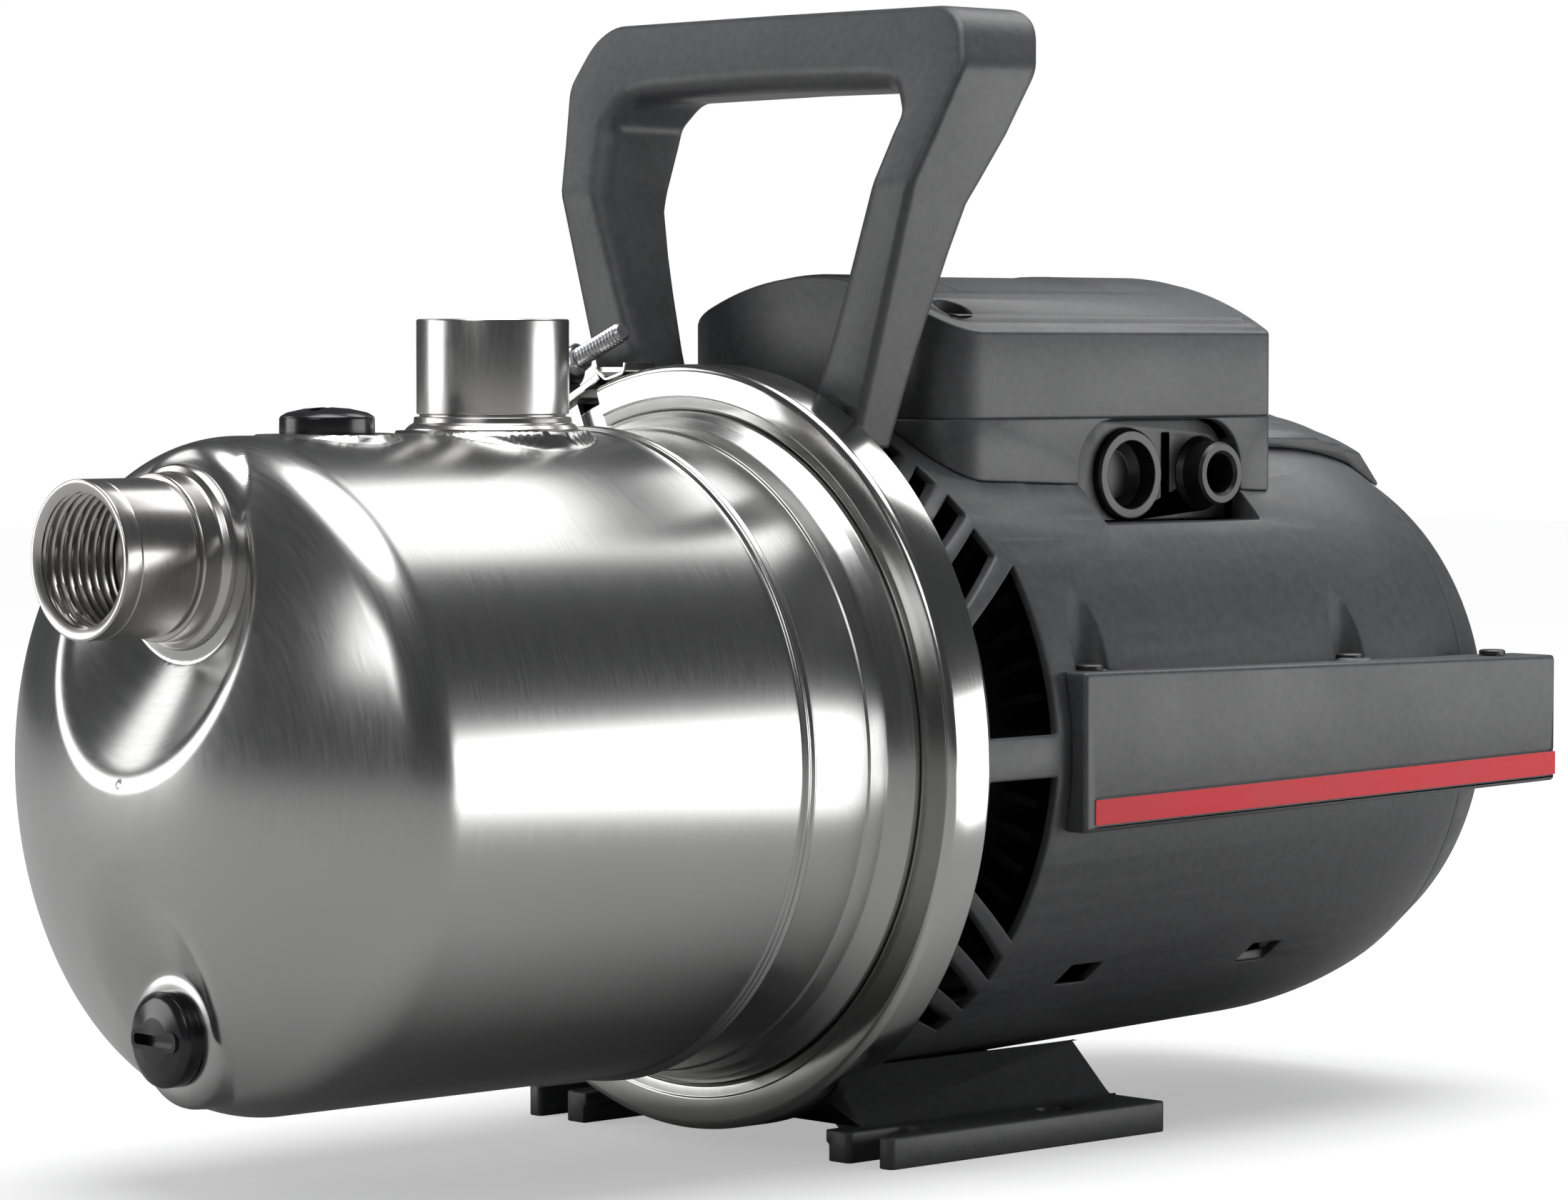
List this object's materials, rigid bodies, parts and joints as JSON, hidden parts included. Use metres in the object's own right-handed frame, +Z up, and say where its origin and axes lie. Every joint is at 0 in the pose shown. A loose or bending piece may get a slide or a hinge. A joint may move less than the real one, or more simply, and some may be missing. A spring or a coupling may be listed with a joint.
{
  "type": "shallow well jet pump",
  "caption": "Self-priming jet pump with a domed steel sleeve, threaded suction and discharge ports, clamp ring, carrying handle, foot and an enclosed fan-cooled motor.",
  "frame": {"origin": "midpoint of the two rear foot holes, on the floor plane", "axes": "+X along the shaft from the suction end to the fan end, +Z up, -Y the side with the cable entries"},
  "size_m": [0.4109, 0.1868, 0.2768],
  "materials": {
    "sleeve_steel": "satin stainless steel sheet",
    "port_steel": "turned stainless steel",
    "ring_steel": "bright pressed stainless steel",
    "zinc_screw": "zinc-plated steel",
    "black_plug": "satin black moulded plastic",
    "charcoal_plastic": "fine-grained charcoal plastic",
    "black_plastic": "matt black plastic",
    "soft_rubber": "smooth black rubber",
    "red_strip": "glossy red film",
    "cast_aluminium": "die-cast aluminium",
    "black_paint": "satin black paint",
    "core_steel": "stacked electrical steel",
    "copper_wire": "enamelled copper wire",
    "shaft_steel": "ground steel",
    "bearing_steel": "polished bearing steel",
    "hydraulic_plastic": "glass-filled moulded plastic",
    "seal_ceramic": "lapped ceramic",
    "seal_carbon": "carbon",
    "terminal_plastic": "white moulded plastic",
    "fan_plastic": "moulded plastic"
  },
  "bodies": {
    "housing": {"pump_sleeve": "sleeve_steel", "suction_port": "port_steel", "discharge_port": "port_steel", "plug_bushes": "port_steel", "clamp_ring": "ring_steel", "clamp_lugs": "ring_steel", "clamp_bolt": "zinc_screw", "clamp_nut": "zinc_screw", "pump_cover": "sleeve_steel", "housing_oring": "soft_rubber", "motor_bracket": "black_paint", "handle": "charcoal_plastic", "handle_screws": "black_paint", "foot": "charcoal_plastic", "foot_screws": "zinc_screw", "motor_shell": "charcoal_plastic", "fan_cowl": "charcoal_plastic", "rear_louvre": "charcoal_plastic", "side_bar": "charcoal_plastic", "accent_stripe": "red_strip", "bar_screws": "black_paint", "terminal_base": "charcoal_plastic", "terminal_lid": "charcoal_plastic", "lid_screws": "black_paint", "entry_panel": "charcoal_plastic", "spare_gland": "black_plastic", "cable_grommet": "soft_rubber", "terminal_block": "terminal_plastic", "capacitor": "terminal_plastic", "capacitor_clips": "zinc_screw", "motor_frame": "black_paint", "stator_core": "core_steel", "windings": "copper_wire", "end_shield": "cast_aluminium", "tie_rods": "black_paint", "bearing_outer_rings": "bearing_steel", "seal_stationary": "seal_ceramic", "diffuser": "hydraulic_plastic", "ejector_body": "hydraulic_plastic", "ejector_nozzle": "hydraulic_plastic"},
    "rotor": {"shaft": "shaft_steel", "rotor_core": "core_steel", "bearing_inner_rings": "bearing_steel", "impeller": "hydraulic_plastic", "impeller_nut": "shaft_steel", "seal_rotating": "seal_carbon", "seal_spring": "shaft_steel", "fan": "fan_plastic"},
    "ball_sets": {"bearing_balls": "bearing_steel"},
    "priming_ring": {"priming_oring": "soft_rubber"},
    "priming_plug": {"priming_plug": "black_plug"},
    "drain_ring": {"drain_oring": "soft_rubber"},
    "drain_plug": {"drain_plug": "black_plug"}
  },
  "joints": [
    {"name": "rotor_spin", "type": "hinge", "parent": "housing", "child": "rotor", "pos_m": [0, 0, 0.0975], "axis": [1, 0, 0], "continuous": true},
    {"name": "ball_orbit", "type": "hinge", "parent": "housing", "child": "ball_sets", "pos_m": [0, 0, 0.0975], "axis": [1, 0, 0], "continuous": true},
    {"name": "priming_lift", "type": "slide", "parent": "housing", "child": "priming_ring", "axis": [0, 0, 1], "range_m": [0, 0.012]},
    {"name": "priming_turn", "type": "hinge", "parent": "priming_ring", "child": "priming_plug", "pos_m": [-0.1825, 0, 0.175], "axis": [0, 0, 1], "range_deg": [0, 3200]},
    {"name": "drain_lift", "type": "slide", "parent": "housing", "child": "drain_ring", "axis": [-1, 0, 0], "range_m": [0, 0.012]},
    {"name": "drain_turn", "type": "hinge", "parent": "drain_ring", "child": "drain_plug", "pos_m": [-0.227, 0, 0.0394], "axis": [-1, 0, 0], "range_deg": [0, 3200]}
  ],
  "couplings": [
    {"joint": "ball_orbit", "follows": "rotor_spin", "ratio": 0.3808},
    {"joint": "priming_lift", "follows": "priming_turn", "m_per_rad": 0.00021279},
    {"joint": "drain_lift", "follows": "drain_turn", "m_per_rad": 0.00021279}
  ]
}
